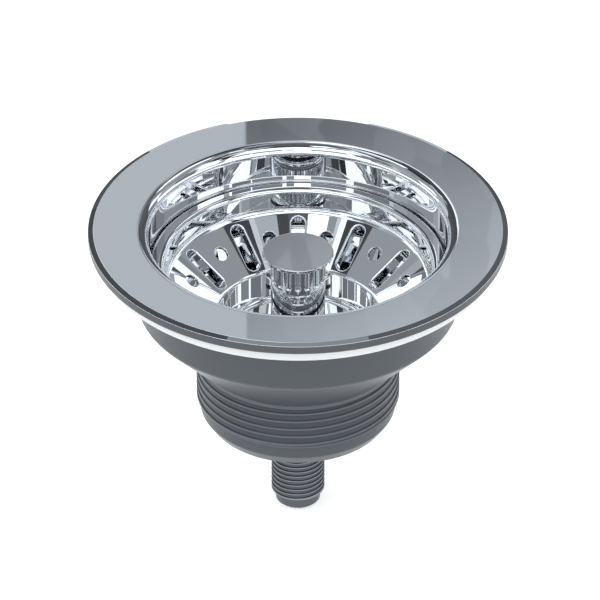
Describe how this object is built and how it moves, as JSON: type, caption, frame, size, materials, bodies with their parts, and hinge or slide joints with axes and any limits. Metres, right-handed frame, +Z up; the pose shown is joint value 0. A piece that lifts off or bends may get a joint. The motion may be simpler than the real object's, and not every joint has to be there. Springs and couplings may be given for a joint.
{
  "type": "sink drain",
  "caption": "Kitchen sink drain: flanged body tapering to a threaded outlet, white gasket, lift-out slotted strainer basket with fluted post and cap, threaded centre spigot.",
  "frame": {"origin": "on the drain's axis, in the plane where the gasket lies on the sink", "axes": "+Z up along the drain's axis, out of the flange's face; one slot of the basket points to +Y"},
  "size_m": [0.114, 0.114, 0.0901],
  "materials": {
    "chromed_body": "polished chrome inside, duller plating outside",
    "white_gasket": "smooth white rubber",
    "cross_steel": "satin",
    "fastener_steel": "satin",
    "spigot_metal": "dull plating",
    "bush_plastic": "satin",
    "black_rubber": "matt",
    "stem_steel": "ground",
    "chromed_basket": "polished",
    "chromed_grip": "polished"
  },
  "bodies": {
    "drain": {"drain_body": "chromed_body", "flange_gasket": "white_gasket", "outlet_cross": "cross_steel", "cross_retaining_ring": "fastener_steel", "threaded_spigot": "spigot_metal", "spigot_washer": "fastener_steel", "spigot_nut": "fastener_steel", "stem_bush": "bush_plastic", "detent_ring": "black_rubber"},
    "stem": {"stem": "stem_steel", "stem_clip": "fastener_steel", "head_washer": "bush_plastic"},
    "basket": {"strainer_basket": "chromed_basket", "grip_post": "chromed_grip", "post_gasket": "black_rubber", "knob_cap": "chromed_grip", "stopper_seal": "black_rubber", "seal_plate": "fastener_steel", "post_nut": "fastener_steel"}
  },
  "joints": [
    {"name": "basket_lift", "type": "slide", "parent": "drain", "child": "stem", "axis": [0, 0, 1], "range_m": [0, 0.033]},
    {"name": "basket_turn", "type": "hinge", "parent": "stem", "child": "basket", "pos_m": [0, 0, 0], "axis": [0, 0, 1], "continuous": true}
  ]
}
